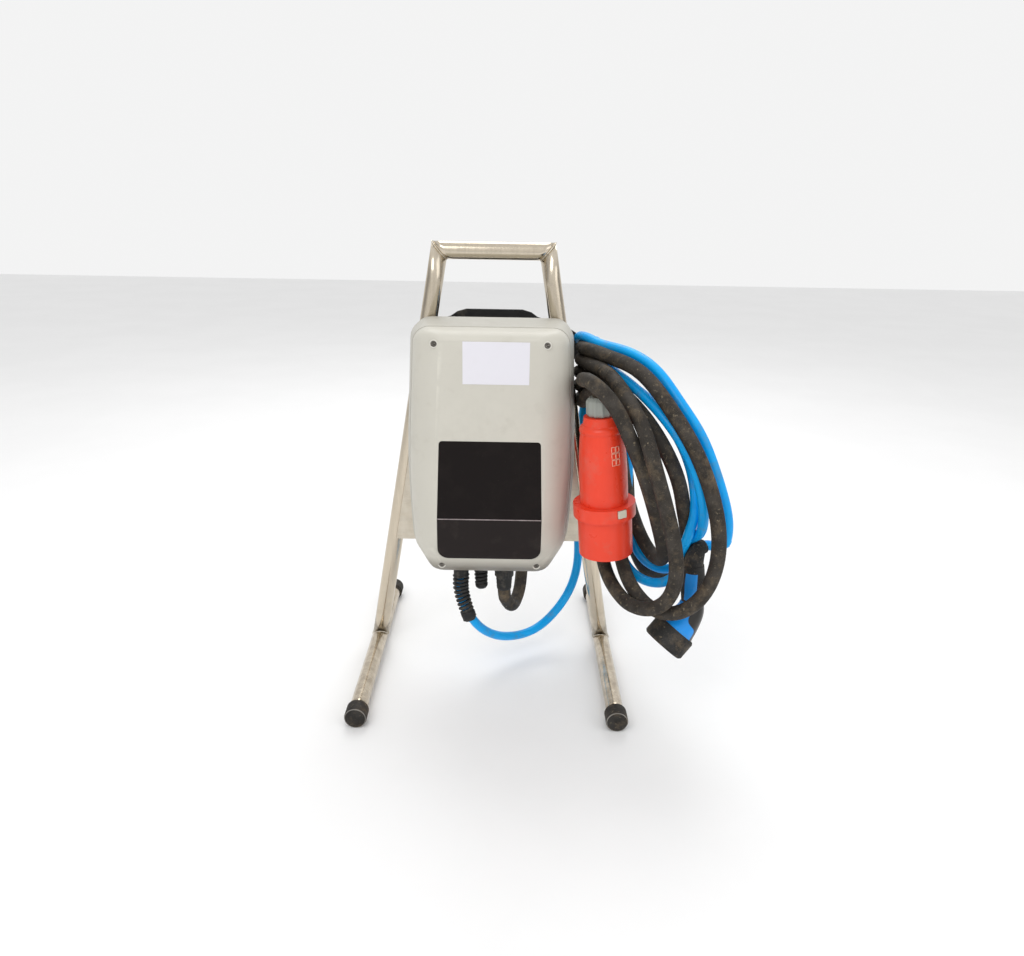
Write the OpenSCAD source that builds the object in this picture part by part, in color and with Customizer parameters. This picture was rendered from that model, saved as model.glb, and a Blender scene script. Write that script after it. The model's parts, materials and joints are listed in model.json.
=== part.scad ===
// Portable EV charging post: a wallbox on a stainless tube stand, with its charging
// lead and its three-phase supply lead hung in loops at the side.
// Millimetres. +Z is up, -Y is the front. The origin is on the floor, under the middle
// of the four feet.

/* [Stand] */
// Outside diameter of the stand's tube
tube_d = 25.4; // [20:0.2:30]
// Wall of the stand's tube
tube_wall = 1.5; // [1:0.1:3]
// Distance between the tube centre lines at the carrying handle
handle_w = 157; // [120:1:180]
// Height of the handle's centre line
handle_z = 647; // [600:1:700]
// Distance between the centre lines of the two foot tubes
feet_w = 374; // [340:1:420]
// Length of each foot, over its rubber caps
foot_len = 412; // [360:1:460]
// How far the leg frame stands behind the middle of the feet
leg_y = 27; // [10:1:60]

/* [Foot caps] */
// Outside diameter of a rubber cap
cap_d = 32; // [30:0.5:40]
// Length of a rubber cap
cap_len = 24; // [15:1:40]
// Depth of the flat on which a cap rests
cap_flat = 0.4; // [0.2:0.1:1]

/* [Mounting plate] */
// Thickness of the plate
plate_t = 2; // [1.5:0.5:4]
// Height of the plate's lower edge
plate_low = 200; // [190:1:230]
// Height of the plate's upper edge
plate_top = 520; // [480:1:540]

/* [Wallbox] */
// Greatest width of the wallbox
box_w = 250; // [240:1:260]
// Height of the wallbox's underside
box_low = 193; // [185:1:200]
// Height of the wallbox's upper side
box_top = 556; // [550:1:560]
// Depth of the wallbox
box_depth = 130.3; // [125:0.1:140]
// Depth of the rear housing, up to the seam
rear_depth = 90; // [85:1:92]
// Thickness of the housing's walls
wall = 3; // [2.5:0.5:4]

/* [Cables] */
// Diameter of the supply lead
supply_d = 20; // [16:0.5:20]
// Diameter of the charging lead
charge_d = 14; // [12:0.5:14]

/* [Plug and connector] */
// Diameter of the three-phase plug's shroud
shroud_d = 75; // [66:1:80]
// Diameter of the charging connector's head
head_d = 62; // [56:1:66]

/* [Hidden] */
$fn = 48;
tiny = 0.01;
gap = 0.3;

steel = [0.72, 0.69, 0.63];
rubber = [0.1, 0.09, 0.085];
shell = [0.78, 0.77, 0.72];
gloss_black = [0.05, 0.045, 0.045];
red = [0.88, 0.14, 0.08];
blue = [0.0, 0.5, 0.9];

tube_r = tube_d / 2;
bore_r = tube_r - tube_wall;
cap_r = cap_d / 2;
foot_z = cap_r - cap_flat;
foot_x = feet_w / 2;
hw = handle_w / 2;
leg_lean = atan((foot_x - hw) / (handle_z - foot_z));
leg_len = norm([foot_x - hw, handle_z - foot_z]);
plate_front = leg_y - tube_r - plate_t;
plate_back = plate_front + plate_t;
box_back = plate_front;
box_front = box_back - box_depth;
seam_y = box_back - rear_depth;
huge = 900;

// Distance of a leg's centre line from the middle at height z
function leg_x(z) = hw + (handle_z - z) * tan(leg_lean);

// ---- sweeping -------------------------------------------------------------

function unit(v) = v / norm(v);
// A point on a smooth curve through four route points, t from 0 to 1 between b and c
function curve_at(a, b, c, d, t) = 0.5 * (2 * b + (c - a) * t
    + (2 * a - 5 * b + 4 * c - d) * t * t + (3 * b - a - 3 * c + d) * t * t * t);
// A route with steps points on each stretch between two route points
function smooth(p, steps) = [for (i = [0 : len(p) - 2], s = [0 : steps - 1])
    curve_at(p[max(i - 1, 0)], p[i], p[i + 1], p[min(i + 2, len(p) - 1)], s / steps),
    p[len(p) - 1]];
// The direction of a route at point i; ends may give its own first and last direction
function heading(p, i, ends) = i == 0 && ends[0] != undef ? unit(ends[0])
    : i == len(p) - 1 && ends[1] != undef ? unit(ends[1])
    : unit(p[min(i + 1, len(p) - 1)] - p[max(i - 1, 0)]);
function across(h, before) = unit(before - h * (before * h));
// One sideways vector for each ring, carried along so that the tube doesn't twist
function frames(p, i, before, ends) = i == len(p) ? [] :
    let (side = across(heading(p, i, ends), before)) concat([side], frames(p, i + 1, side, ends));

// A tube along the points, with radii as one number or one number for each point
module sweep(points, radii, sides = 10, ends = [undef, undef]) {
    n = len(points);
    start = abs(heading(points, 0, ends)[2]) > 0.8 ? [1, 0, 0] : [0, 0, 1];
    side = frames(points, 0, start, ends);
    rings = [for (i = [0 : n - 1], k = [0 : sides - 1])
        let (h = heading(points, i, ends), up = cross(h, side[i]), a = 360 * k / sides,
            r = is_list(radii) ? radii[i] : radii)
        points[i] + r * (cos(a) * side[i] + sin(a) * up)];
    walls = [for (i = [0 : n - 2], k = [0 : sides - 1])
        let (m = (k + 1) % sides, b = i * sides)
        [b + k, b + sides + k, b + sides + m, b + m]];
    ends = [[for (k = [0 : sides - 1]) k],
        [for (k = [sides - 1 : -1 : 0]) (n - 1) * sides + k]];
    polyhedron(rings, concat(walls, ends));
}

// ---- stand ----------------------------------------------------------------

// A block with one face on the mitre between the handle and a leg, on the leg's side of
// it, or on the handle's side when inner is true
module mitre_block(side, inner) {
    tilt = (90 - leg_lean) / 2;
    out = inner ? -side : side;
    translate([side * hw, leg_y, handle_z]) rotate([0, side * tilt, 0])
        translate([out > 0 ? 0 : -huge, -huge / 2, -huge / 2]) cube(huge);
}

module handle_bar() {
    color(steel) difference() {
        translate([-huge / 4, leg_y, handle_z]) rotate([0, 90, 0])
            cylinder(r = tube_r, h = huge / 2);
        translate([-huge / 2, leg_y, handle_z]) rotate([0, 90, 0])
            cylinder(r = bore_r, h = huge);
        mitre_block(1, false);
        mitre_block(-1, false);
    }
}

module leg_axis(side) {
    translate([side * foot_x, leg_y, foot_z]) rotate([0, -side * leg_lean, 0]) children();
}

// A leg: mitred at the handle, cut to sit on its foot tube
module leg(side) {
    color(steel) difference() {
        leg_axis(side) cylinder(r = tube_r, h = leg_len + 2 * tube_d);
        leg_axis(side) translate([0, 0, -1]) cylinder(r = bore_r, h = leg_len + 3 * tube_d);
        foot_line(side) cylinder(r = tube_r, h = foot_len);
        translate([-huge / 2, -huge / 2, foot_z + 1 - huge]) cube(huge);
        mitre_block(side, true);
    }
}

module foot_line(side) {
    translate([side * foot_x, foot_len / 2, foot_z]) rotate([90, 0, 0]) children();
}

module leg_left() { leg(-1); }
module leg_right() { leg(1); }

module foot_tube(side) {
    cap_end = 4;
    color(steel) foot_line(side) translate([0, 0, cap_end]) difference() {
        cylinder(r = tube_r, h = foot_len - 2 * cap_end);
        translate([0, 0, -1]) cylinder(r = bore_r, h = foot_len);
    }
}

module foot_tube_left() { foot_tube(-1); }
module foot_tube_right() { foot_tube(1); }

// A rubber cap over a tube's end, flattened where it stands
module foot_cap(side, front) {
    edge = 2.5;
    cap_end = 4;
    color(rubber) difference() {
        translate([side * foot_x, front * -foot_len / 2, foot_z]) rotate([front * -90, 0, 0])
            difference() {
                rotate_extrude() polygon([[0, 0], [cap_r - edge, 0],
                    for (a = [15 : 15 : 90]) [cap_r - edge + edge * sin(a), edge - edge * cos(a)],
                    [cap_r, cap_len - 1], [cap_r - 1, cap_len], [0, cap_len]]);
                translate([0, 0, cap_end]) cylinder(r = tube_r, h = cap_len);
            }
        translate([-huge / 2, -huge / 2, -huge]) cube(huge);
    }
}

module foot_cap_front_left() { foot_cap(-1, 1); }
module foot_cap_front_right() { foot_cap(1, 1); }
module foot_cap_rear_left() { foot_cap(-1, -1); }
module foot_cap_rear_right() { foot_cap(1, -1); }

// Places of the four bolts that hold the wallbox on the plate
bolt_at = [for (x = [-70, 70], z = [240, 480]) [x, z]];
bolt_r = 3;

// The welded plate, its slanted edges on the front of the legs
module mounting_plate() {
    edge_in = 3;
    outline = [[-leg_x(plate_low) + edge_in, plate_low], [leg_x(plate_low) - edge_in, plate_low],
        [leg_x(plate_top) - edge_in, plate_top], [-leg_x(plate_top) + edge_in, plate_top]];
    color([0.74, 0.7, 0.6]) difference() {
        translate([0, plate_back, 0]) rotate([90, 0, 0]) linear_extrude(plate_t) polygon(outline);
        for (p = bolt_at) translate([p[0], plate_back + 1, p[1]]) rotate([90, 0, 0])
            cylinder(r = bolt_r + gap, h = plate_t + 2);
    }
}

// ---- cable hanger ---------------------------------------------------------

hanger_front = 45;
hanger_back = 106;
hanger_wall = 5;
flange_top = 554;
saddle_top = 490;
saddle_r = 300;
hanger_hw = 145;
saddle_hw = 118;
screw_x = 40;
screw_z = 455;

// A channel welded to the back of the plate, which carries the hanger
module hanger_bracket() {
    sheet = 3;
    width = 110;
    height = 40;
    color(steel) difference() {
        translate([-width / 2, plate_back, screw_z - height / 2])
            cube([width, hanger_front - plate_back, height]);
        translate([-width / 2 + sheet, plate_back - 1, screw_z - height / 2 - 1])
            cube([width - 2 * sheet, hanger_front - plate_back - sheet + 1, height + 2]);
        for (x = [-screw_x, screw_x]) translate([x, hanger_front + 1, screw_z])
            rotate([90, 0, 0]) cylinder(r = bolt_r + gap, h = sheet + 2);
    }
}

// The hanger's upper outline: a flat top with sloping shoulders, longer on the leads' side
hanger_left = 126;
function flange_outline() = [[-44, 0], [44, 0], [58, -4], [68, -11], [95, -19], [120, -29],
    [136, -39], [hanger_hw, -52], [hanger_hw, -76], [-hanger_left, -76], [-hanger_left, -36],
    [-120, -29], [-95, -19], [-68, -11], [-58, -4]];

// The arched floor on which the loops lie
module saddle_shape(thick) {
    intersection() {
        translate([0, saddle_top - saddle_r]) difference() {
            circle(r = saddle_r, $fn = 96);
            circle(r = saddle_r - thick, $fn = 96);
        }
        translate([-saddle_hw, saddle_top - 60]) square([2 * saddle_hw, 100]);
    }
}

module cable_hanger() {
    foot_hw = 55;
    foot_h = 56;
    color(rubber) difference() {
        union() {
            translate([0, hanger_back, 0]) rotate([90, 0, 0])
                linear_extrude(hanger_back - hanger_front) saddle_shape(hanger_wall);
            translate([0, hanger_back, 0]) rotate([90, 0, 0]) linear_extrude(hanger_wall)
                difference() {
                    translate([0, flange_top]) polygon(flange_outline());
                    translate([0, saddle_top - saddle_r]) circle(r = saddle_r - 1, $fn = 96);
                }
            translate([-foot_hw, hanger_front, screw_z - foot_h / 2])
                cube([2 * foot_hw, hanger_wall, foot_h]);
        }
        for (x = [-screw_x, screw_x]) translate([x, hanger_front + hanger_wall + 1, screw_z])
            rotate([90, 0, 0]) cylinder(r = bolt_r + gap, h = hanger_wall + 2);
    }
}

module hanger_screws() {
    head_r = 5.5;
    head_h = 4;
    color(steel) for (x = [-screw_x, screw_x])
        translate([x, hanger_front + hanger_wall + head_h, screw_z]) rotate([90, 0, 0]) {
            cylinder(r = head_r, h = head_h);
            cylinder(r = bolt_r, h = head_h + hanger_wall + 10);
        }
}

// ---- wallbox shells -------------------------------------------------------

chin_top = 250;
chin_r = 67;
// How far the face has turned back at height z, below the top of the rounded chin
function chin(z) = z >= chin_top ? 0 :
    chin_r - sqrt(pow(chin_r, 2) - pow(min(chin_top - z, chin_r - 1), 2));

// One corner rounded with radius r, as steps + 1 points
function corner(before, at, after, r, steps) =
    let (u = unit(before - at), v = unit(after - at), half = acos(u * v) / 2,
        centre = at + unit(u + v) * r / sin(half),
        from = at + u * r / tan(half), to = at + v * r / tan(half),
        a0 = atan2(from[1] - centre[1], from[0] - centre[0]),
        turn = atan2(to[1] - centre[1], to[0] - centre[0]) - a0,
        sweep_a = turn > 180 ? turn - 360 : turn < -180 ? turn + 360 : turn)
    [for (i = [0 : steps]) centre + r * [cos(a0 + sweep_a * i / steps), sin(a0 + sweep_a * i / steps)]];

// The wallbox's front view, drawn in by side, top and low, and by its corner radii
function outline(side, top, low) =
    let (h = box_w / 2 - side, zt = box_top - top, zb = box_low + low, draw = (side + top) / 2,
        right = [[h - 32, zb], [h - 6, zb + 46], [h, 350], [h - 10, zt]],
        left = [for (i = [3 : -1 : 0]) [-right[i][0], right[i][1]]],
        ring = concat(right, left), rr = [26, 34, 900, max(26 - draw / 2, 8)],
        radius = concat(rr, [for (i = [3 : -1 : 0]) rr[i]]), steps = [5, 5, 2, 7, 7, 2, 5, 5])
    [for (i = [0 : 7], p = corner(ring[(i + 7) % 8], ring[i], ring[(i + 1) % 8],
        radius[i], steps[i])) p];

// A solid through outlines, each level as [y, side, top, low]; the chin turns its foot back
module loft(levels, thin = 0) {
    rings = [for (l = levels) [for (p = outline(l[1] + thin, l[2] + thin, l[3] + thin))
        [p[0], max(l[0], box_front + thin + chin(p[1] - thin)), p[1]]]];
    n = len(rings[0]);
    last = len(rings) - 1;
    walls = [for (i = [0 : last - 1], k = [0 : n - 1]) let (m = (k + 1) % n, b = i * n)
        each [[b + m, b + k, b + n + k], [b + n + m, b + m, b + n + k]]];
    back = [[for (k = [0 : n - 1]) k]];
    half = n / 2;
    // The front is closed by strips between the left and the right half of the last ring
    front = [for (k = [0 : half - 2]) let (a = last * n + k, c = last * n + n - 1 - k)
        each [[a + 1, a, c], [c - 1, a + 1, c]]];
    polyhedron([for (r = rings, p = r) p], concat(walls, back, front));
}

cover_levels = [[seam_y - gap, 9, 2.2, 2.2], [box_front + 28, 10.5, 2.6, 2.6],
    [box_front + 18, 15, 3.6, 3.6], [box_front + 11, 22, 5.6, 5], [box_front + 5, 33, 9, 8],
    [box_front, 46, 14, 12]];
rear_levels = [[box_back, 3, 3, 3], [box_back - 3, 1, 1, 1], [box_back - 40, 0, 0, 0],
    [box_back - 70, 4, 1, 1], [seam_y, 8, 1.4, 1.4]];

module rear_housing() {
    color(shell) difference() {
        loft(rear_levels);
        loft([[box_back - wall, 3, 3, 3], [box_back - 40, 0, 0, 0], [box_back - 70, 4, 1, 1],
            [seam_y - 1, 8, 1.4, 1.4]], wall);
        for (p = bolt_at) translate([p[0], box_back + 1, p[1]]) rotate([90, 0, 0])
            cylinder(r = bolt_r + gap, h = wall + 2);
        for (g = [gland_charge, gland_supply, gland_spare]) translate([g[0], g[1], box_low - 1])
            cylinder(r = g[2] + stub_wall + gap, h = wall + 4);
    }
}

module wall_bolts() {
    head_r = 6;
    head_h = 4;
    color(steel) for (p = bolt_at) translate([p[0], box_back - wall - head_h, p[1]])
        rotate([-90, 0, 0]) {
            cylinder(r = head_r, h = head_h);
            cylinder(r = bolt_r, h = head_h + wall + plate_t + 9);
        }
}

module wall_nuts() {
    nut_r = 5.8;
    nut_h = 5;
    color(steel) for (p = bolt_at) translate([p[0], plate_back, p[1]]) rotate([-90, 0, 0])
        difference() {
            cylinder(r = nut_r, h = nut_h, $fn = 6);
            translate([0, 0, -1]) cylinder(r = bolt_r + 0.05, h = nut_h + 2, $fn = 48);
        }
}

module cover_seal() {
    color(rubber) difference() {
        loft([[seam_y + 4, 8, 1.4, 1.4], [seam_y + 1, 8, 1.4, 1.4]], wall + gap);
        loft([[seam_y + 5, 8, 1.4, 1.4], [seam_y, 8, 1.4, 1.4]], wall + 4);
    }
}

window_hw = 74;
window_top = 404;
window_low = 288;
panel_low = 226;
panel_depth = 2;

// The front view of the dark window and the panel below it
module window_outline(grow = 0) {
    top_r = 5;
    low_r = 16;
    w = window_hw + grow;
    hull() {
        for (x = [-1, 1]) translate([x * (w - 4 - top_r), window_top + grow - top_r])
            circle(r = top_r, $fn = 32);
        for (x = [-1, 1]) translate([x * (w - low_r), panel_low - grow + low_r])
            circle(r = low_r, $fn = 32);
        for (x = [-1, 1]) translate([x * (w - 1), window_low]) circle(r = 1, $fn = 16);
    }
}

// A skin of the face between two depths, over the heights low to high
module face_skin(outer, inner, low, high) {
    zs = [for (i = [0 : 12]) low + (high - low) * i / 12];
    profile = concat([for (z = zs) [box_front + outer + chin(z), z]],
        [for (i = [12 : -1 : 0]) [box_front + inner + chin(zs[i]), zs[i]]]);
    translate([-box_w / 2, 0, 0]) rotate([90, 0, 90]) linear_extrude(box_w) polygon(profile);
}

module window_part(low, high, outer, inner, grow = 0) {
    intersection() {
        face_skin(outer, inner, low, high);
        translate([0, box_back, 0]) rotate([90, 0, 0]) linear_extrude(box_depth + 20)
            window_outline(grow);
    }
}

screw_places = [[-75, 537], [75, 537], [-69, 212], [69, 212]];
screw_head_r = 4;

module front_cover() {
    color(shell) difference() {
        loft(cover_levels);
        loft(concat([[seam_y + 5, 9, 2.2, 2.2]], [for (i = [1 : 5]) cover_levels[i]]), wall);
        window_part(panel_low - 1, window_top + 1, -1, panel_depth, gap);
        for (p = screw_places) translate([p[0], box_front + chin(p[1]) + 4, p[1]])
            rotate([90, 0, 0]) cylinder(r = screw_head_r + gap, h = 40);
    }
}

module window_panel() {
    color(gloss_black) window_part(window_low + 1.5, window_top, 0, panel_depth - 0.2);
}

// The thin status light between the window and the panel below it
module light_strip() {
    color([0.7, 0.66, 0.66]) window_part(window_low, window_low + 1.3, 0, panel_depth - 0.2);
}

module lower_panel() {
    color([0.09, 0.075, 0.075]) window_part(panel_low, window_low - 0.2, 0, panel_depth - 0.2);
}

// Captive screws, sunk in their holes
module cover_screws() {
    sink = 1.5;
    color(steel) for (p = screw_places)
        translate([p[0], box_front + chin(p[1]) + sink, p[1]]) rotate([-90, 0, 0]) difference() {
            cylinder(r = screw_head_r, h = 2.4);
            translate([0, 0, -1]) cylinder(r = 1.7, h = 2.4, $fn = 6);
        }
}

// A blank white sticker in place of the owner's label
module blank_label() {
    color("white") translate([-37, box_front - 0.4, 484]) cube([89, 0.35, 57]);
}

// ---- inside the wallbox ---------------------------------------------------

rail_z = 440;
rail_y = box_back - wall - 8;

module din_rail() {
    color("silver") translate([-95, 0, rail_z]) rotate([90, 0, 90]) linear_extrude(190) {
        translate([rail_y, -17.5]) square([1, 9]);
        translate([rail_y, 8.5]) square([1, 9]);
        translate([rail_y, -9.5]) square([8, 1]);
        translate([rail_y, 8.5]) square([8, 1]);
        translate([rail_y + 7, -9.5]) square([1, 19]);
    }
}

// A body clipped on the rail, with the raised middle of such devices
module rail_device(x, width, depth) {
    step = 12;
    low_h = 85;
    high_h = 45;
    translate([x, rail_y - gap - depth, rail_z - low_h / 2]) cube([width, depth, low_h]);
    translate([x, rail_y - gap - depth - step, rail_z - high_h / 2])
        cube([width, step + tiny, high_h]);
}

device_depth = 46;
toggle_y = rail_y - gap - device_depth - 12;
toggle_x = -50;
toggle_sunk = 6;
toggle_up = 30;

module residual_breaker() {
    color([0.85, 0.85, 0.83]) difference() {
        rail_device(-88, 72, device_depth);
        translate([toggle_x - 12, toggle_y - 1, rail_z - 12]) cube([24, 13, 24]);
    }
}

// The breaker's toggle on its pivot, up, in the on position
module breaker_toggle() {
    pivot_r = 3.5;
    pivot_len = 23.4;
    lever = 15;
    color(rubber) translate([toggle_x, toggle_y + toggle_sunk, rail_z]) rotate([-toggle_up, 0, 0]) {
        translate([-pivot_len / 2, 0, 0]) rotate([0, 90, 0]) cylinder(r = pivot_r, h = pivot_len);
        translate([-9, -lever, -1.5]) cube([18, lever, 3]);
    }
}

module contactor() {
    color([0.25, 0.27, 0.28]) rail_device(-8, 54, device_depth);
}

module terminal_block() {
    color([0.55, 0.56, 0.5]) difference() {
        translate([52, rail_y - gap - 40, rail_z - 25]) cube([38, 40, 50]);
        for (i = [0 : 4]) translate([56 + 7.5 * i, rail_y - 60, rail_z - 12])
            rotate([-90, 0, 0]) cylinder(r = 2.2, h = 40);
    }
}

board_w = 150;
board_h = 96;
board_z = 270;
board_y = -34;
standoff_at = [for (x = [-68, 68], z = [board_z - 41, board_z + 41]) [x, z]];

module controller_board() {
    board_t = 1.6;
    color([0.05, 0.3, 0.15]) difference() {
        union() {
            translate([-board_w / 2, board_y - board_t, board_z - board_h / 2])
                cube([board_w, board_t, board_h]);
            translate([-50, board_y - board_t - 14, board_z - 30]) cube([40, 14 + tiny, 25]);
            translate([10, board_y - board_t - 9, board_z - 10]) cube([50, 9 + tiny, 30]);
        }
        for (p = standoff_at) translate([p[0], board_y + 1, p[1]]) rotate([90, 0, 0])
            cylinder(r = 1.6, h = 4);
    }
}

module board_standoffs() {
    color("silver") for (p = standoff_at) translate([p[0], board_y, p[1]]) rotate([-90, 0, 0])
        cylinder(r = 3, h = box_back - wall - board_y);
}

// ---- cable entries --------------------------------------------------------

// Each gland's place and the radius of its cable
gland_charge = [-44, -58, charge_d / 2];
gland_supply = [22, -56, supply_d / 2];
gland_spare = [-14, -40, charge_d / 2];
stub_wall = 2;
gland_wall = 4.5;
gland_body = 8;
gland_cap = 12;
gland_end = box_low - gland_body - gland_cap;

// A cable gland under the wallbox: a stub through the wall, a six-sided body and a round
// cap, bored for its cable
module gland(g) {
    color(rubber) translate([g[0], g[1], box_low]) difference() {
        union() {
            cylinder(r = g[2] + stub_wall, h = wall + 5);
            translate([0, 0, -gland_body]) cylinder(r = g[2] + gland_wall + 2, h = gland_body, $fn = 6);
            translate([0, 0, gland_end - box_low])
                cylinder(r = g[2] + gland_wall, h = gland_cap + tiny);
        }
        translate([0, 0, gland_end - box_low - 1]) cylinder(r = g[2] + gap / 2, h = 40);
    }
}

module charge_gland() { gland(gland_charge); }
module supply_gland() { gland(gland_supply); }
module spare_gland() { gland(gland_spare); }

// A bend-protection spiral: rings on a sleeve along the route of its cable
module spiral(points, ring_r, ring_count) {
    p = smooth(points, ring_count);
    step = (len(p) - 1) / (len(points) - 1);
    color(rubber) difference() {
        sweep([for (i = [0 : len(p) - 1]) p[i]],
            [for (i = [0 : len(p) - 1]) i > len(p) - 4 ? ring_r : i % 2 == 0 ? ring_r : ring_r - 1.6],
            16);
        sweep([p[0] - (p[1] - p[0]) * 0.5, each [for (i = [1 : len(p) - 2]) p[i]],
            p[len(p) - 1] + (p[len(p) - 1] - p[len(p) - 2]) * 0.5], charge_d / 2 + gap, 12);
    }
}

long_route = [[-44, -58, gland_end - 1.5], [-44, -60, 150], [-38, -65, 126], [-30, -70, 104]];
short_route = [[-14, -40, gland_end - 1.5], [-14, -41, 160], [-13, -42, 146]];

module bend_spiral_long() { spiral(long_route, 11.5, 9); }
module bend_spiral_short() { spiral(short_route, 11.5, 6); }

// ---- three-phase plug -----------------------------------------------------

plug_top = [146, -135, 474];
plug_lean = 5;
plug_r = 33;
plug_wall = 3;
shroud_r = shroud_d / 2;
collar_r = 43;
// Distances down the plug's axis from its top
nut_end = 25;
collar_from = 147;
collar_to = 166;
shroud_to = 223;
insert_to = 173;

// The plug's own frame: its top at the origin and its axis down along -Z
module plug_frame() {
    translate(plug_top) rotate([0, -plug_lean, 0]) children();
}

// A round block of the plug between two distances down its axis
module plug_block(r, from, to) {
    translate([0, 0, -to]) cylinder(r = r, h = to - from);
}

module plug_nut() {
    nut_r = 19;
    collar_h = 3;
    color([0.56, 0.58, 0.53]) plug_frame() difference() {
        union() {
            translate([0, 0, -nut_end]) cylinder(r = nut_r, h = nut_end - collar_h, $fn = 10);
            plug_block(nut_r - 3, 0, collar_h + tiny);
        }
        plug_block(supply_d / 2 + gap / 2, -1, nut_end + 1);
    }
}

module plug_body() {
    color(red) plug_frame() difference() {
        rotate_extrude() polygon([[0, -nut_end - gap], [23, -nut_end - gap], [25, -36], [28.5, -39],
            [30, -43], [29.5, -46], [28.5, -48], [30, -56], [32, -80], [plug_r, -105],
            [plug_r, -collar_from], [0, -collar_from]]);
        plug_block(plug_r - plug_wall, 86, collar_from + 1);
        plug_block(22, 57, 87);
        plug_block(supply_d / 2 + gap / 2, nut_end - 1, 66);
    }
}

module plug_shroud() {
    floor_at = 174;
    color(red) plug_frame() difference() {
        union() {
            plug_block(collar_r, collar_from, collar_to);
            plug_block(shroud_r, collar_to - tiny, shroud_to);
        }
        plug_block(shroud_r - plug_wall - 0.5, floor_at - tiny, shroud_to + 1);
        plug_block(plug_r - plug_wall, collar_from - 1, floor_at);
        latch_room();
    }
}

latch_turn = -62;
latch_size = [6.5, 13, 11];
latch_from = collar_from + 1.5;

module latch_room() {
    rotate([0, 0, latch_turn]) translate([collar_r - 7.5, -latch_size[1] / 2 - 0.5,
        -latch_from - latch_size[2] - 0.5]) cube(latch_size + [3.5, 1, 1]);
}

// The pale locking tab in the plug's collar
module plug_latch() {
    color([0.75, 0.75, 0.7]) plug_frame() rotate([0, 0, latch_turn])
        translate([collar_r - 5.5, -latch_size[1] / 2, -latch_from - latch_size[2]]) cube(latch_size);
}

pin_ring = 18;
pin_r = 3;
pin_from = 163;
pin_to = 230;

module plug_insert() {
    color([0.12, 0.12, 0.12]) plug_frame() difference() {
        plug_block(plug_r - plug_wall - gap, collar_from - 0.1, insert_to);
        for (i = [0 : 4]) rotate([0, 0, 72 * i]) translate([pin_ring, 0, 0])
            plug_block(pin_r + 0.2, pin_from - 1, insert_to + 1);
    }
}

module plug_pins() {
    color("silver") plug_frame() for (i = [0 : 4]) rotate([0, 0, 72 * i])
        translate([pin_ring, 0, 0]) plug_block(pin_r, pin_from, pin_to);
}

// ---- charging connector ---------------------------------------------------

boot_route = [[299, -150, 268], [291, -154, 266], [286, -158, 256], [284, -160, 244]];
grip_route = [[284, -160, 244], [285, -160, 226], [287, -162, 206], [287, -165, 190]];
neck_route = [[287, -165, 190], [284, -168, 177], [275, -172, 163], [265, -176, 152]];
head_from = [265, -176, 152];
head_to = [246, -183, 130];
// Directions in which the boot, the grip and the body meet each other and the head
boot_start = [-8, -4, -2];
boot_end = [1, -2, -20];
grip_end = [-1, -3, -16];
neck_end = head_to - head_from;
head_r = head_d / 2;

module connector_boot() {
    p = smooth(boot_route, 3);
    color(rubber) sweep(p, [for (i = [0 : len(p) - 1]) 10 + 4.5 * i / (len(p) - 1)], 16,
        [boot_start, boot_end]);
}

module connector_grip() {
    p = smooth(grip_route, 4);
    color(rubber) difference() {
        sweep(p, [for (i = [0 : len(p) - 1]) 15.5 + 2 * sin(180 * i / (len(p) - 1))], 16,
            [boot_end, grip_end]);
        inlay_block();
    }
}

module inlay_block() {
    translate([268, -182, 196]) cube([20, 10, 40]);
}

// The blue inlay let into the grip's front
module connector_inlay() {
    p = smooth(grip_route, 4);
    color(blue) intersection() {
        sweep(p, [for (i = [0 : len(p) - 1]) 15.9 + 2 * sin(180 * i / (len(p) - 1))], 16,
            [boot_end, grip_end]);
        inlay_block();
    }
}

module connector_body() {
    p = smooth(neck_route, 4);
    color(blue) sweep(p, [for (i = [0 : len(p) - 1]) 16 + 11 * i / (len(p) - 1)], 16,
        [grip_end, neck_end]);
}

module head_frame() {
    d = neck_end;
    translate(head_from) rotate([0, acos(d[2] / norm(d)), atan2(d[1], d[0])]) children();
}

// Places of the seven contacts around the head's axis
contact_at = concat([[0, 0]], [for (a = [0 : 60 : 300]) 14 * [cos(a), sin(a)]]);
head_len = norm(neck_end);
contact_r = 3.6;
contact_len = 22;

// The head: a round nose with a groove around the carrier of its contacts
module connector_head() {
    groove_r = head_r - 4;
    groove_w = 3;
    groove_len = 14;
    color(rubber) head_frame() difference() {
        rotate_extrude() polygon([[0, 0], [head_r - 2, 0], [head_r, 3], [head_r, head_len - 3],
            [head_r - 3, head_len], [0, head_len]]);
        translate([0, 0, head_len - groove_len]) difference() {
            cylinder(r = groove_r, h = groove_len + 1);
            translate([0, 0, -1]) cylinder(r = groove_r - groove_w, h = groove_len + 3);
        }
        for (p = contact_at) translate([p[0], p[1], head_len - contact_len])
            cylinder(r = contact_r + gap, h = contact_len + 1);
    }
}

// The seven contact sleeves, set back a little in the carrier
module connector_contacts() {
    set_back = 2;
    color("silver") head_frame() for (p = contact_at)
        translate([p[0], p[1], head_len - contact_len]) difference() {
            cylinder(r = contact_r, h = contact_len - set_back);
            translate([0, 0, 4]) cylinder(r = contact_r - 1, h = contact_len);
        }
}

// ---- free cables ----------------------------------------------------------

// The supply lead from its gland, down, back and up behind the plate to its loops
supply_route = [[22, -56, gland_end], [22, -56, 150], [24, -50, 122], [30, -30, 100], [36, 0, 94],
    [42, 28, 106], [48, 50, 138], [60, 66, 180], [90, 84, 215], [140, 92, 245], [178, 78, 272],
    [178, 52, 286], [166, 30, 297], [161, 10, 304], [165, -9, 308]];
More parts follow.
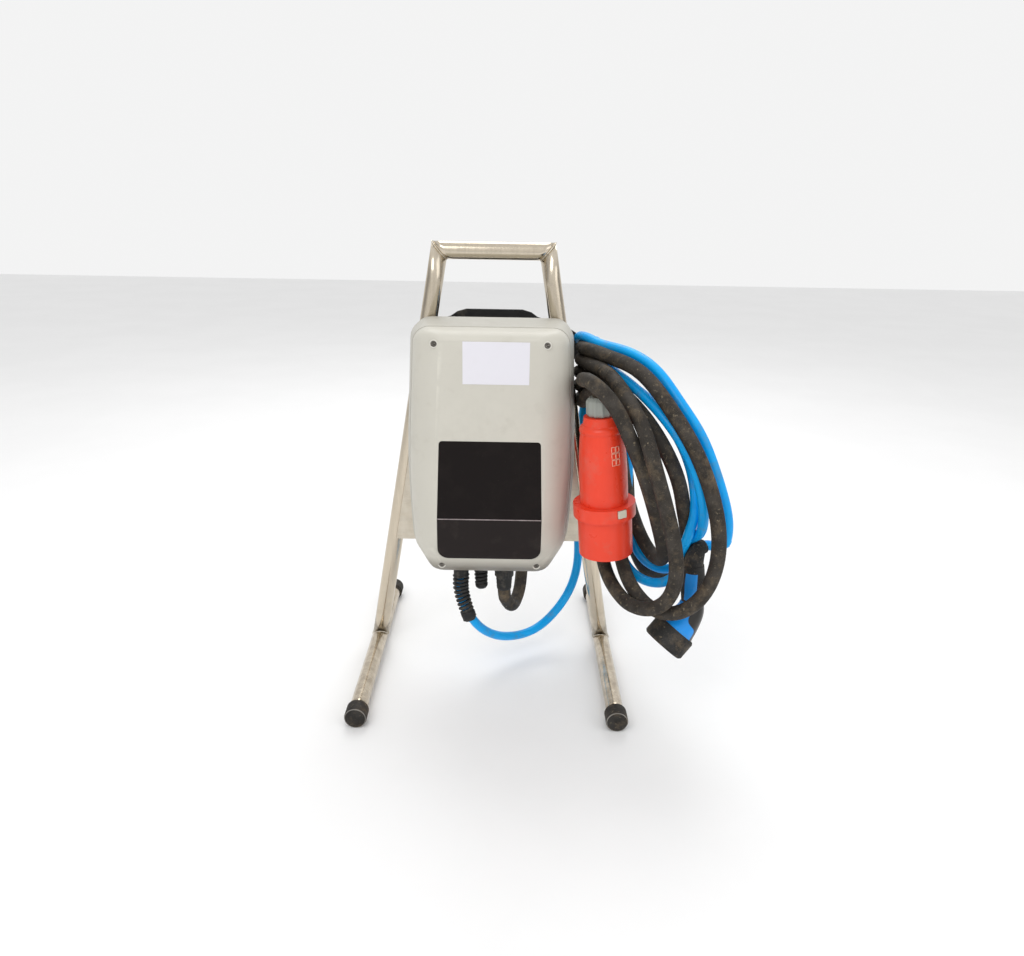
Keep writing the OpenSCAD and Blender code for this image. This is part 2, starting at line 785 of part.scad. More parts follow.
// The supply lead from its loops to the plug's nut
supply_tail_route = [[169.5, -69.5, 462], [156, -74, 470], [148, -84, 490], [143, -100, 504],
    [144, -117, 506], [145, -130, 494], plug_top, plug_top + [1.7, 0, -20]];
// The charging lead from the spiral's end, in a low loop, up behind the leg to its loops
charge_route = [[-30, -70, 104], [-15, -60, 80], [12, -40, 54], [40, -16, 40], [74, 5, 40],
    [106, 26, 60], [130, 42, 90], [143, 56, 130], [145, 62, 174], [142, 64, 240], [140, 64, 304],
    [141, 64, 360], [148, 62, 405], [155, 56, 445], [166, 38, 480], [182, 12, 496],
    [195, -13, 491], [202, -31, 474]];
// The charging lead from its loops to the connector's boot
charge_tail_route = [[272, -184, 400], [290, -177, 397], [308, -170, 377], [320, -164, 346],
    [326, -160, 315], [324, -156, 290], [314, -152, 274], [299, -150, 268]];

hank_centre = [211, -117, 345];
hank_turn = -68;
hank_normal = [-sin(hank_turn), cos(hank_turn), 0];
hank_straight = 92;

// A hank hung in an upright plane: an outline with round ends, from n to n + thick
module hank(outer, inner, n, thick) {
    translate(hank_centre) rotate([90, 0, hank_turn]) translate([0, 0, -n - thick])
        linear_extrude(thick) difference() {
            hank_outline(outer);
            hank_outline(inner);
        }
}

module hank_outline(r) {
    for (z = [-1, 1]) translate([0, z * hank_straight / 2]) circle(r = r, $fn = 96);
    translate([-r, -hank_straight / 2]) square([2 * r, hank_straight]);
}

module supply_coil() { color(rubber) hank(117, 73, -20, 36); }
module charge_coil() { color(blue) hank(117, 95, 17, 14); }

// A free stretch of cable; ends gives the directions of its end faces
module cable(route, d, sides, ends) { sweep(smooth(route, 2), d / 2, sides, ends); }

module supply_lead() { color(rubber) cable(supply_route, supply_d, 10, [[0, 0, -1], [3, -8, 0]]); }
module supply_tail() {
    color(rubber) cable(supply_tail_route, supply_d, 10, [-hank_normal, [1.7, 0, -20]]);
}
module charge_lead() { color(blue) cable(charge_route, charge_d, 8, [[8, 5, -30], [3, -7, -7]]); }
module charge_tail() { color(blue) cable(charge_tail_route, charge_d, 8, [hank_normal, boot_start]); }

handle_bar();
leg_left();
leg_right();
foot_tube_left();
foot_tube_right();
foot_cap_front_left();
foot_cap_front_right();
foot_cap_rear_left();
foot_cap_rear_right();
mounting_plate();
hanger_bracket();
cable_hanger();
hanger_screws();
rear_housing();
wall_bolts();
wall_nuts();
cover_seal();
front_cover();
window_panel();
light_strip();
lower_panel();
cover_screws();
blank_label();
din_rail();
residual_breaker();
breaker_toggle();
contactor();
terminal_block();
controller_board();
board_standoffs();
charge_gland();
supply_gland();
spare_gland();
bend_spiral_long();
bend_spiral_short();
plug_nut();
plug_body();
plug_shroud();
plug_insert();
plug_pins();
plug_latch();
connector_boot();
connector_grip();
connector_inlay();
connector_body();
connector_head();
connector_contacts();
supply_lead();
supply_coil();
supply_tail();
charge_lead();
charge_coil();
charge_tail();
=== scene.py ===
import json
from math import cos, pi, radians, sin

import bmesh
import bpy
import numpy as np
from mathutils import Matrix, Vector


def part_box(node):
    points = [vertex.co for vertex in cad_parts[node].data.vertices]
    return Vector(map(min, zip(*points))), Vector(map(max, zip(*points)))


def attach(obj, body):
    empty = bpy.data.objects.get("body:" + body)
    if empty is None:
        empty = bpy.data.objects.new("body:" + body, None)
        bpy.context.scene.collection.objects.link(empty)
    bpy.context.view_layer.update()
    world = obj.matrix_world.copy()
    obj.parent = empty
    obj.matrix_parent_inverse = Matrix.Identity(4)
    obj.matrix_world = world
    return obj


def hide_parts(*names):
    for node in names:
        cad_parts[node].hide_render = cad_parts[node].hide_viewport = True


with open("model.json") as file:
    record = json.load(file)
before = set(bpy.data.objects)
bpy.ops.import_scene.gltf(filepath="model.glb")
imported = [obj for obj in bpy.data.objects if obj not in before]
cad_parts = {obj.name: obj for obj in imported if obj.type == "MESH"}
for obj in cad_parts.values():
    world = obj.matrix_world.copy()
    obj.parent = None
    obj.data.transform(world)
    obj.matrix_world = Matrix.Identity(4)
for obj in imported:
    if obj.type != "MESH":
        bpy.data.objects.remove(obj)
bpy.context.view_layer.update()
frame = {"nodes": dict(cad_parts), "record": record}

nodes = frame["nodes"]
scene = bpy.context.scene
rng = np.random.default_rng(7)

# ------------------------------------------------------------------ camera
# In front of the wallbox, a little above it, tilted down by 19.5 degrees
place = Vector((0.027, -1.166, 0.723))
yaw, pitch, roll = 0.004, 0.340, 0.0173
forward = Vector((sin(yaw) * cos(pitch), cos(yaw) * cos(pitch), -sin(pitch)))
level = Vector((cos(yaw), -sin(yaw), 0.0))
upright = level.cross(forward)
across = level * cos(roll) + upright * sin(roll)
above = upright * cos(roll) - level * sin(roll)
lens = bpy.data.cameras.new("camera")
lens.sensor_width = 36.0
lens.lens = 28.125
lens.clip_start = 0.05
camera = bpy.data.objects.new("camera", lens)
camera.matrix_world = Matrix.Translation(place) @ Matrix((across, above, -forward)).transposed().to_4x4()
scene.collection.objects.link(camera)
scene.camera = camera
scene.view_settings.view_transform = "Standard"


# ------------------------------------------------------------------ routes
def catmull(points, step):
    """A smooth line through points, cut into lengths of about step."""
    p = np.array(points, float)
    q = np.vstack([2 * p[0] - p[1], p, 2 * p[-1] - p[-2]])
    line = []
    for i in range(1, len(q) - 2):
        a, b, c, d = q[i - 1:i + 3]
        t1 = max(np.linalg.norm(b - a), 1e-6) ** 0.5
        t2 = t1 + max(np.linalg.norm(c - b), 1e-6) ** 0.5
        t3 = t2 + max(np.linalg.norm(d - c), 1e-6) ** 0.5
        count = max(2, int(round(np.linalg.norm(c - b) / step)))
        for t in np.linspace(t1, t2, count, endpoint=False):
            a1 = (t1 - t) / t1 * a + t / t1 * b
            a2 = (t2 - t) / (t2 - t1) * b + (t - t1) / (t2 - t1) * c
            a3 = (t3 - t) / (t3 - t2) * c + (t - t2) / (t3 - t2) * d
            b1 = (t2 - t) / t2 * a1 + t / t2 * a2
            b2 = (t3 - t) / (t3 - t1) * a2 + (t - t1) / (t3 - t1) * a3
            line.append((t2 - t) / (t2 - t1) * b1 + (t - t1) / (t2 - t1) * b2)
    line.append(p[-1])
    return np.array(line)


def even(line, step):
    """The same line with its points evenly spaced."""
    at = np.r_[0, np.cumsum(np.linalg.norm(np.diff(line, axis=0), axis=1))]
    to = np.linspace(0, at[-1], int(round(at[-1] / step)) + 1)
    return np.stack([np.interp(to, at, line[:, k]) for k in range(3)], -1)


# Supply lead, in millimetres: out of its gland, down, back and up behind the plate, then
# four turns beside the saddle's end and round under the plug, and in at the top of the plug
supply_start = [
    (22, -56, 173), (22, -56, 150), (25, -50, 125), (35, -30, 100), (40, 0, 95), (50, 30, 105),
    (50, 50, 140), (60, 65, 180), (90, 85, 215), (140, 90, 245), (180, 85, 285), (190, 70, 340),
    (180, 70, 400), (170, 80, 445), (165, 85, 485), (150, 70, 505), (130, 40, 515)]
supply_turns = [
    [(130, 5, 510), (160, -45, 510), (200, -110, 505), (235, -160, 465), (270, -190, 410),
     (295, -205, 345), (305, -210, 285), (295, -215, 235), (270, -215, 200), (240, -200, 185),
     (210, -160, 190), (190, -105, 230), (185, -50, 310), (180, 10, 395), (170, 65, 450),
     (150, 80, 480), (130, 45, 490)],
    [(140, -10, 490), (160, -75, 495), (180, -135, 475), (200, -180, 440), (215, -210, 390),
     (230, -215, 345), (245, -220, 290), (250, -220, 240), (235, -210, 200), (205, -180, 185),
     (175, -115, 195), (165, -70, 230), (165, -20, 310), (170, 30, 390), (170, 70, 435),
     (150, 85, 465), (130, 55, 470)],
    [(135, 10, 475), (160, -60, 480), (200, -130, 455), (230, -160, 415), (255, -160, 365),
     (270, -150, 310), (285, -130, 245), (280, -105, 195), (260, -95, 180), (230, -80, 195),
     (210, -55, 255), (205, -20, 340), (195, 40, 410), (175, 75, 440), (150, 85, 450),
     (130, 55, 450)],
    [(130, 0, 465), (130, -60, 480), (125, -115, 490), (135, -150, 495), (160, -170, 475),
     (185, -175, 425), (210, -175, 365), (235, -160, 290), (250, -135, 235), (240, -105, 225),
     (215, -80, 265), (200, -60, 310), (190, -10, 365), (180, 40, 405), (165, 75, 430),
     (145, 75, 430), (130, 50, 430)]]
supply_finish = [
    (130, 15, 430), (130, -40, 445), (135, -75, 465), (140, -110, 480), (145, -130, 480),
    (146, -135, 470), (148, -135, 450)]
# Charging lead: down through its spiral, in a low loop, up behind the leg, then two turns
# and a half beside the supply lead's, and from the right into the connector's boot
charge_start = [
    (-44, -58, 173), (-44, -60, 150), (-40, -65, 125), (-30, -70, 105), (-15, -60, 80),
    (10, -40, 55), (40, -15, 40), (75, 5, 40), (105, 25, 60), (130, 40, 90), (145, 55, 130),
    (145, 60, 175), (140, 65, 240), (140, 65, 305), (140, 65, 360), (145, 75, 410),
    (155, 85, 455), (155, 85, 490), (155, 65, 510), (150, 40, 515)]
charge_turns = [
    [(150, 5, 505), (170, -35, 490), (195, -100, 480), (235, -155, 445), (265, -180, 400),
     (285, -185, 340), (290, -170, 300), (285, -145, 260), (275, -120, 220), (250, -105, 205),
     (220, -85, 220), (205, -65, 275), (205, -20, 345), (200, 35, 400), (185, 75, 445),
     (165, 90, 475), (150, 70, 490)],
    [(150, 25, 485), (165, -20, 475), (200, -80, 475), (240, -130, 440), (270, -155, 385),
     (280, -160, 320), (275, -155, 260), (265, -145, 210), (240, -130, 195), (210, -110, 200),
     (190, -80, 230), (185, -35, 305), (185, 15, 380), (180, 55, 435), (170, 80, 475),
     (150, 85, 500), (130, 60, 515)]]
charge_finish = [
    (130, 30, 515), (140, 5, 520), (160, -10, 520), (190, -50, 520), (225, -100, 505),
    (250, -135, 470), (280, -155, 430), (300, -160, 385), (320, -160, 335), (330, -160, 300),
    (330, -160, 280), (315, -155, 270), (300, -150, 270), (291, -154, 266)]
connector_line = [
    (299, -150, 268, 8), (291, -154, 266, 11), (286, -158, 256, 13), (284, -160, 244, 15),
    (285, -160, 226, 17), (287, -162, 206, 17), (287, -165, 190, 16), (284, -168, 177, 18),
    (275, -172, 163, 23), (265, -176, 152, 28), (246, -183, 130, 31)]
supply_r, charge_r = 10.0, 7.0
# The plug's nut, where the supply lead goes in, and how far the plug leans to the right
plug_top, plug_lean = (146, -135, 474), radians(5)
# The wallbox, its plate and the hanger's saddle, which the leads stay out of
box_low, box_high, box_back, box_front = 193, 556, 12.3, -118
box_depths = [-118, -113, -107, -100, -90, -77, -58, -28, 12.3]
box_halves = [79, 92, 103, 110, 114.5, 117, 121, 125, 125]
plate_back, plate_low, plate_high = 14.3, 200, 520
saddle_end, saddle_r, saddle_low = 118, 300, 190
# The legs' middle lines
leg_top_x, leg_top_z, leg_y, leg_slope = 78.5, 647, 27, 0.1718


def solids():
    """Balls that fill the plug, the connector and the legs: centre and radius."""
    balls = []
    for s in np.arange(0, 224, 5.0):
        r = 19 if s < 26 else 31 if s < 147 else 43 if s < 167 else 38
        balls.append((plug_top[0] + s * sin(plug_lean), plug_top[1], plug_top[2] - s * cos(plug_lean), r))
    for a, b in zip(connector_line, connector_line[1:]):
        for k in range(4):
            balls.append(tuple(np.array(a) + (np.array(b) - np.array(a)) * k / 4))
    for z in np.arange(16, 645, 6.0):
        balls.append((leg_top_x + (leg_top_z - z) * leg_slope, leg_y, z, 12.7))
    return np.array(balls)


def out_of_post(p, r):
    """How each point of a cord of radius r moves to leave the wallbox, plate, saddle and floor."""
    d = np.zeros_like(p)
    x, y, z = p.T
    half = np.interp(y, box_depths, box_halves)
    px = half + r - np.abs(x)
    py = np.where(y > -50, box_back + r - y, 1e9)
    pz = np.where(z < 300, z - (box_low - r), 1e9)
    inside = (y > box_front - r) & (y < box_back + r) & (z > box_low - r) & (z < box_high + r) & (px > 0)
    least = np.minimum(np.minimum(px, py), pz)
    d[:, 0] += np.where(inside & (px == least), px * np.sign(x), 0)
    d[:, 1] += np.where(inside & (py == least), py, 0)
    d[:, 2] -= np.where(inside & (pz == least), pz, 0)
    plate = (y > box_back - r) & (y < plate_back + r) & (z > plate_low - r) & (z < plate_high + r)
    plate &= np.abs(x) < 75.5 + (leg_top_z - z) * leg_slope + r
    d[:, 1] += np.where(plate, plate_back + r - y, 0)
    rad = np.hypot(x, z - saddle_low)
    over = (np.abs(x) < saddle_end + r * 0.6) & (y > 45 - r * 0.6) & (y < 106)
    over &= (rad < saddle_r + r) & (rad > saddle_r - 5 - r)
    lift = np.where(over & (rad > saddle_r - 4), saddle_r + r - rad, 0)
    d[:, 0] += lift * x / rad + np.where(over & (rad <= saddle_r - 4), (saddle_end + r - x) * 0.5, 0)
    d[:, 2] += lift * (z - saddle_low) / rad
    flange = (y > 101 - r) & (y < 106 + r) & (z > 470 - r) & (z < 554) & (np.abs(x) < 145)
    d[:, 1] -= np.where(flange, np.minimum(y - (101 - r), 20), 0)
    d[:, 2] += np.maximum(r - z, 0)
    return d


def settle(cords, spacing, rounds):
    """Cords given as (line, radius), pressed apart until they lie beside each other."""
    p = np.vstack([line for line, _ in cords])
    r = np.concatenate([np.full(len(line), radius) for line, radius in cords])
    who = np.concatenate([np.full(len(line), k) for k, (line, _) in enumerate(cords)])
    order = np.concatenate([np.arange(len(line)) for line, _ in cords])
    held = np.zeros(len(p), bool)
    ends = np.r_[0, np.cumsum([len(line) for line, _ in cords])]
    for a, b in zip(ends, ends[1:]):
        held[a:a + 6] = True
        held[b - 6:b] = True
    start = p.copy()
    balls = solids()
    eye = np.array(place) * 1000
    need = r[:, None] + r[None, :] + 0.6
    near = (who[:, None] == who[None, :]) & (np.abs(order[:, None] - order[None, :]) * spacing < need * 1.6)
    for _ in range(rounds):
        gap = np.zeros((len(p), len(p)))
        parts = [p[:, None, k] - p[None, :, k] for k in range(3)]
        for part in parts:
            gap += part * part
        gap = np.sqrt(gap) + 1e-9
        push = np.where(near, 0, np.maximum(need - gap, 0))
        share = 0.8 / np.maximum((push > 0).sum(1), 1)
        move = np.stack([(part / gap * push).sum(1) * share for part in parts], -1)
        away = p[:, None] - balls[None, :, :3]
        far = np.linalg.norm(away, axis=-1) + 1e-9
        hit = np.maximum(r[:, None] + balls[None, :, 3] + 0.5 - far, 0)
        worst = hit.argmax(1)
        rows = np.arange(len(p))
        move += away[rows, worst] / far[rows, worst][:, None] * hit[rows, worst][:, None]
        for radius in set(r):
            some = r == radius
            move[some] += out_of_post(p[some], radius + 0.4)
        ray = p - eye
        ray /= np.linalg.norm(ray, axis=1)[:, None]
        along = (move * ray).sum(1)[:, None] * ray
        move = along + (move - along) * 0.3
        move[held] = 0
        p = p + move * 0.7
        for a, b in zip(ends, ends[1:]):
            line = p[a:b]
            bend = np.zeros_like(line)
            bend[1:-1] = 0.25 * (line[:-2] + line[2:]) - 0.5 * line[1:-1]
            bend[held[a:b]] = 0
            p[a:b] = line + bend * 0.35
        p = p + (start - p) * 0.01 * (~held)[:, None]
    return [p[a:b] for a, b in zip(ends, ends[1:])]


step = 8.0
supply_line = even(catmull(supply_start + sum(supply_turns, []) + supply_finish, step), step)
charge_line = even(catmull(charge_start + sum(charge_turns, []) + charge_finish, step), step)
supply_line, charge_line = settle([(supply_line, supply_r), (charge_line, charge_r)], step, 70)


def frames(line):
    """Along a line: two directions across it at each point, turning as little as they can."""
    along = np.gradient(line, axis=0)
    along /= np.linalg.norm(along, axis=1)[:, None]
    first = np.cross(along[0], (0.03, 1.0, 0.1))
    one = [first / np.linalg.norm(first)]
    for t in along[1:]:
        u = one[-1] - t * np.dot(one[-1], t)
        one.append(u / np.linalg.norm(u))
    one = np.array(one)
    return one, np.cross(along, one)


def mesh_piece(name, verts, faces, body="post"):
    data = bpy.data.meshes.new(name)
    data.from_pydata([tuple(v) for v in verts], [], faces)
    data.validate()
    for face in data.polygons:
        face.use_smooth = True
    piece = bpy.data.objects.new(name, data)
    scene.collection.objects.link(piece)
    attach(piece, body)
    return piece


def skin(count, sides, ring=False):
    """The faces over count circles of points, closed in a ring or with a cap at each end."""
    faces = []
    for i in range(count if ring else count - 1):
        j = (i + 1) % count
        for k in range(sides):
            m = (k + 1) % sides
            faces.append((i * sides + k, i * sides + m, j * sides + m, j * sides + k))
    if not ring:
        faces.append(tuple(range(sides))[::-1])
        faces.append(tuple(range((count - 1) * sides, count * sides)))
    return faces


def tube(name, line, radius, body="post", radii=None, sides=16, ring=False):
    """A round tube along a line of points in metres, with rounded ends or closed in a ring."""
    line = np.array(line, float)
    count = len(line)
    radii = np.ones(count) if radii is None else np.array(radii, float)
    if ring:
        middle = line.mean(0)
        along = np.roll(line, -1, 0) - np.roll(line, 1, 0)
        one = line - middle
        one /= np.linalg.norm(one, axis=1)[:, None]
        two = np.cross(along, one)
        two /= np.linalg.norm(two, axis=1)[:, None]
    else:
        one, two = frames(line)
        tip = 0.82
        tips = (line[0] - line[1], line[-1] - line[-2])
        lead = [t / np.linalg.norm(t) * radius * 0.25 for t in tips]
        line = np.vstack([line[0] + lead[0], line, line[-1] + lead[1]])
        radii = np.r_[radii[0] * tip, radii, radii[-1] * tip]
        one, two = np.vstack([one[0], one, one[-1]]), np.vstack([two[0], two, two[-1]])
        count += 2
    turn = np.linspace(0, 2 * pi, sides, endpoint=False)
    wheel = one[:, None] * np.cos(turn)[None, :, None] + two[:, None] * np.sin(turn)[None, :, None]
    verts = (line[:, None] + wheel * (radius * radii)[:, None, None]).reshape(-1, 3)
    return mesh_piece(name, verts, skin(count, sides, ring), body)


supply_path = catmull(supply_line / 1000, 0.004)
charge_path = catmull(charge_line / 1000, 0.004)
supply_cable = tube("supply_cable", supply_path, supply_r / 1000)
charge_cable = tube("charge_cable", charge_path, charge_r / 1000, sides=14)
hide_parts("supply_lead", "supply_coil", "supply_tail")
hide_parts("charge_lead", "charge_coil", "charge_tail")


# ------------------------------------------------------------------ materials
class Look:
    """A procedural material put together one layer at a time."""

    def __init__(self, name, rough, metallic=0.0, **sockets):
        self.mat = bpy.data.materials.new(name)
        self.mat.use_nodes = True
        self.tree = self.mat.node_tree
        self.shader = self.tree.nodes["Principled BSDF"]
        self.shader.inputs["Metallic"].default_value = metallic
        for key, value in sockets.items():
            self.shader.inputs[key.replace("_", " ")].default_value = value
        self.coords = self.add("ShaderNodeTexCoord").outputs["Object"]
        self.colour = None
        grain = self.noise((60, 60, 60), 5)
        self.link(self.span(grain, 0.3, 0.7, *rough), self.shader.inputs["Roughness"])

    def add(self, kind, **values):
        node = self.tree.nodes.new(kind)
        for key, value in values.items():
            setattr(node, key, value)
        return node

    def link(self, a, b):
        self.tree.links.new(a, b)

    def noise(self, scale, detail=4.0, rough=0.55, shift=(0, 0, 0)):
        mapping = self.add("ShaderNodeMapping")
        mapping.inputs["Scale"].default_value = scale
        mapping.inputs["Location"].default_value = shift
        self.link(self.coords, mapping.inputs["Vector"])
        node = self.add("ShaderNodeTexNoise")
        node.inputs["Scale"].default_value = 1.0
        node.inputs["Detail"].default_value = detail
        node.inputs["Roughness"].default_value = rough
        self.link(mapping.outputs["Vector"], node.inputs["Vector"])
        return node.outputs["Fac"]

    def span(self, value, low, high, to_low=0.0, to_high=1.0):
        node = self.add("ShaderNodeMapRange")
        node.inputs["From Min"].default_value = low
        node.inputs["From Max"].default_value = high
        node.inputs["To Min"].default_value = to_low
        node.inputs["To Max"].default_value = to_high
        self.link(value, node.inputs["Value"])
        return node.outputs["Result"]

    def times(self, a, b):
        node = self.add("ShaderNodeMath", operation="MULTIPLY")
        for socket, value in zip(node.inputs, (a, b)):
            if isinstance(value, float):
                socket.default_value = value
            else:
                self.link(value, socket)
        return node.outputs["Value"]

    def paint(self, colour, mask=None):
        """Lays a colour over what is there, where the mask is 1."""
        if self.colour is None:
            node = self.add("ShaderNodeRGB")
            node.outputs[0].default_value = (*colour, 1.0)
            self.colour = node.outputs[0]
        else:
            node = self.add("ShaderNodeMix", data_type="RGBA")
            self.link(mask, node.inputs["Factor"])
            self.link(self.colour, node.inputs[6])
            node.inputs[7].default_value = (*colour, 1.0)
            self.colour = node.outputs[2]
        return self

    def cloud(self, colour, scale, low, high, most=1.0, shift=(0, 0, 0), detail=5.0, rough=0.6):
        if isinstance(scale, (int, float)):
            scale = (scale, scale, scale)
        return self.paint(colour, self.span(self.noise(scale, detail, rough, shift), low, high, 0.0, most))

    def worn(self, colour, low=0.52, high=0.6, most=0.7):
        """Rubbed along the edges."""
        sharp = self.add("ShaderNodeNewGeometry").outputs["Pointiness"]
        edge = self.span(sharp, low, high, 0.0, most)
        return self.paint(colour, self.times(edge, self.span(self.noise((90, 90, 90), 6), 0.35, 0.6)))

    def specks(self, colour, scale, size, most=1.0):
        cells = self.add("ShaderNodeTexVoronoi")
        cells.inputs["Scale"].default_value = scale
        self.link(self.coords, cells.inputs["Vector"])
        return self.paint(colour, self.span(cells.outputs["Distance"], size, size * 0.6, 0.0, most))

    def low_dirt(self, colour, top, most=0.6):
        """Dirt that thickens from a height down to the floor."""
        split = self.add("ShaderNodeSeparateXYZ")
        self.link(self.coords, split.inputs[0])
        down = self.span(split.outputs["Z"], top, 0.0, 0.0, most)
        return self.paint(colour, self.times(down, self.span(self.noise((70, 70, 70), 7), 0.38, 0.62)))

    def bump(self, scale, strength, distance=0.0004, detail=4.0):
        if isinstance(scale, (int, float)):
            scale = (scale, scale, scale)
        node = self.add("ShaderNodeBump")
        node.inputs["Strength"].default_value = strength
        node.inputs["Distance"].default_value = distance
        self.link(self.noise(scale, detail), node.inputs["Height"])
        self.link(node.outputs["Normal"], self.shader.inputs["Normal"])
        return self

    def done(self):
        self.link(self.colour, self.shader.inputs["Base Color"])
        return self.mat


def plastic(name, colour, rough=(0.35, 0.5), shade=0.86, grain=1400, bump=0.18, dirt=0.35, wear=0.35):
    look = Look(name, rough, Specular_IOR_Level=0.2 if max(colour) < 0.05 else 0.4).paint(colour)
    look.cloud(tuple(c * shade for c in colour), 9, 0.4, 0.65, 0.5)
    look.cloud((0.30, 0.26, 0.20), 34, 0.56, 0.76, dirt, (3, 1, 2), 8)
    if wear:
        look.worn(tuple(min(1, c * 1.25 + 0.04) for c in colour), most=wear)
    return look.bump(grain, bump, 0.00025)


def rubber(name, colour, dust=0.5, edge=0.0):
    look = Look(name, (0.6, 0.85), Specular_IOR_Level=0.25).paint(colour)
    look.cloud(tuple(c * 1.8 + 0.006 for c in colour), 45, 0.42, 0.62, 0.7)
    look.cloud((0.19, 0.14, 0.085), 32, 0.50, 0.70, dust, (1, 4, 2), 10, 0.75)
    look.cloud((0.36, 0.29, 0.19), 170, 0.60, 0.72, dust, (4, 1, 3), 6, 0.7)
    look.specks((0.55, 0.48, 0.37), 520, 0.12, 0.6 * dust)
    if edge:
        look.worn((0.30, 0.28, 0.25), most=edge)
    return look.bump(900, 0.3, 0.0004)


def steel(name, grain, colour=(0.62, 0.545, 0.435), rough=(0.14, 0.27), low=0.12):
    look = Look(name, rough, 1.0).paint(colour)
    look.cloud(tuple(c * 0.80 for c in colour), grain, 0.38, 0.62, 0.45)
    look.cloud((0.44, 0.36, 0.26), 9, 0.60, 0.82, 0.3, (5, 2, 1), 5)
    look.worn((0.80, 0.76, 0.68), most=0.4)
    look.low_dirt((0.26, 0.21, 0.15), low, 0.55)
    return look.bump(grain, 0.06, 0.0001)


made = {
    "stainless_tube": steel("stainless_tube", (260, 260, 7)),
    "stainless_sheet": steel("stainless_sheet", (9, 160, 160), (0.60, 0.54, 0.44), (0.3, 0.5), 0.1),
    "weld": steel("weld", (240, 240, 240), (0.66, 0.60, 0.50), (0.3, 0.5)),
    # Painted shade: the cover's recessed screws and their slots are coloured nearly black for the shade in their
    # recesses
    "screw_recess_shade": steel("screw_recess_shade", (300, 300, 300), (0.11, 0.10, 0.09), (0.35, 0.5)),
    # Painted highlight: a paler plastic for the lit edges round the screw recesses
    "screw_rim_highlight": plastic("screw_rim_highlight", (0.66, 0.64, 0.58), dirt=0.2),
    "cap_rubber": rubber("cap_rubber", (0.020, 0.018, 0.016), 0.5, 0.8),
    "cap_rim": rubber("cap_rim", (0.17, 0.16, 0.145), 0.5),
    "zinc_steel": steel("zinc_steel", (120, 120, 120), (0.5, 0.5, 0.48), (0.35, 0.6)),
    "hanger_plastic": plastic("hanger_plastic", (0.016, 0.016, 0.017), (0.4, 0.6), 1.5, dirt=0.3),
    "housing_plastic": plastic("housing_plastic", (0.50, 0.485, 0.43), (0.4, 0.58), 0.9, dirt=0.2),
    "cover_plastic": plastic("cover_plastic", (0.575, 0.555, 0.49), (0.36, 0.52), 0.93, dirt=0.16),
    "seal_rubber": rubber("seal_rubber", (0.02, 0.02, 0.02), 0.3),
    "panel_dark": plastic("panel_dark", (0.010, 0.0062, 0.0058), (0.32, 0.46), 1.35, dirt=0.05, wear=0),
    "label_white": plastic("label_white", (0.74, 0.73, 0.78), (0.45, 0.55), 0.985, 2400, 0.08, 0.03, 0),
    "rail_steel": steel("rail_steel", (90, 90, 90), (0.6, 0.6, 0.55)),
    "device_plastic": plastic("device_plastic", (0.62, 0.62, 0.6), dirt=0.1),
    "toggle_plastic": plastic("toggle_plastic", (0.03, 0.03, 0.035), dirt=0.1),
    "board_green": plastic("board_green", (0.03, 0.16, 0.06), dirt=0.1),
    "gland_plastic": plastic("gland_plastic", (0.022, 0.022, 0.022), (0.4, 0.6), 1.5, dirt=0.45),
    "nut_grey": plastic("nut_grey", (0.30, 0.315, 0.285), (0.4, 0.55), 0.85, dirt=0.4),
    "plug_red": plastic("plug_red", (0.84, 0.055, 0.020), (0.25, 0.4), 0.86, 1200, 0.14, 0.22),
    "plug_pale": plastic("plug_pale", (0.86, 0.34, 0.24), (0.3, 0.4), dirt=0.1),
    "insert_black": plastic("insert_black", (0.02, 0.02, 0.02), dirt=0.3),
    "latch_plastic": plastic("latch_plastic", (0.62, 0.58, 0.47), dirt=0.3),
    "grip_rubber": rubber("grip_rubber", (0.020, 0.019, 0.018), 0.75),
    "inlay_blue": plastic("inlay_blue", (0.01, 0.25, 0.70), (0.3, 0.45), 0.8, dirt=0.3),
    "body_blue": plastic("body_blue", (0.004, 0.29, 0.84), (0.25, 0.4), 0.8, dirt=0.3),
    "head_black": rubber("head_black", (0.020, 0.019, 0.018), 0.6),
    "supply_rubber": rubber("supply_rubber", (0.030, 0.0255, 0.021), 0.62),
}


def wave_mask(look, place, width, ripple):
    """1 beyond a wavy line across X, given in metres."""
    split = look.add("ShaderNodeSeparateXYZ")
    look.link(look.coords, split.inputs[0])
    wave = look.add("ShaderNodeMath", operation="SINE")
    look.link(look.times(split.outputs["Z"], 190.0), wave.inputs[0])
    total = look.add("ShaderNodeMath", operation="ADD")
    look.link(look.times(wave.outputs[0], ripple), total.inputs[0])
    look.link(split.outputs["X"], total.inputs[1])
    return look.span(total.outputs[0], place, place + width)


made["body_blue"].paint((0.018, 0.016, 0.014), wave_mask(made["body_blue"], 0.281, 0.0012, 0.0045))
# Painted shade: the cover's downward-facing chin is darkened towards the bottom, from 0.226 m down to 0.204 m
foot = made["cover_plastic"]
split = foot.add("ShaderNodeSeparateXYZ")
foot.link(foot.coords, split.inputs[0])
foot.paint((0.13, 0.11, 0.085), foot.span(split.outputs["Z"], 0.226, 0.204, 0.0, 0.82))
made = {key: look.done() for key, look in made.items()}
gloss = Look("window_gloss", (0.10, 0.2), 0.0, Specular_IOR_Level=0.12).paint((0.007, 0.0045, 0.0042))
gloss.cloud((0.014, 0.010, 0.009), 30, 0.5, 0.75, 0.6).specks((0.10, 0.085, 0.06), 150, 0.05, 0.5)
made["window_gloss"] = gloss.bump(700, 0.05, 0.0001).done()
glow = Look("light_guide", (0.25, 0.4)).paint((0.36, 0.31, 0.31)).cloud((0.2, 0.16, 0.16), 60, 0.4, 0.7)
made["light_guide"] = glow.bump(500, 0.1).done()
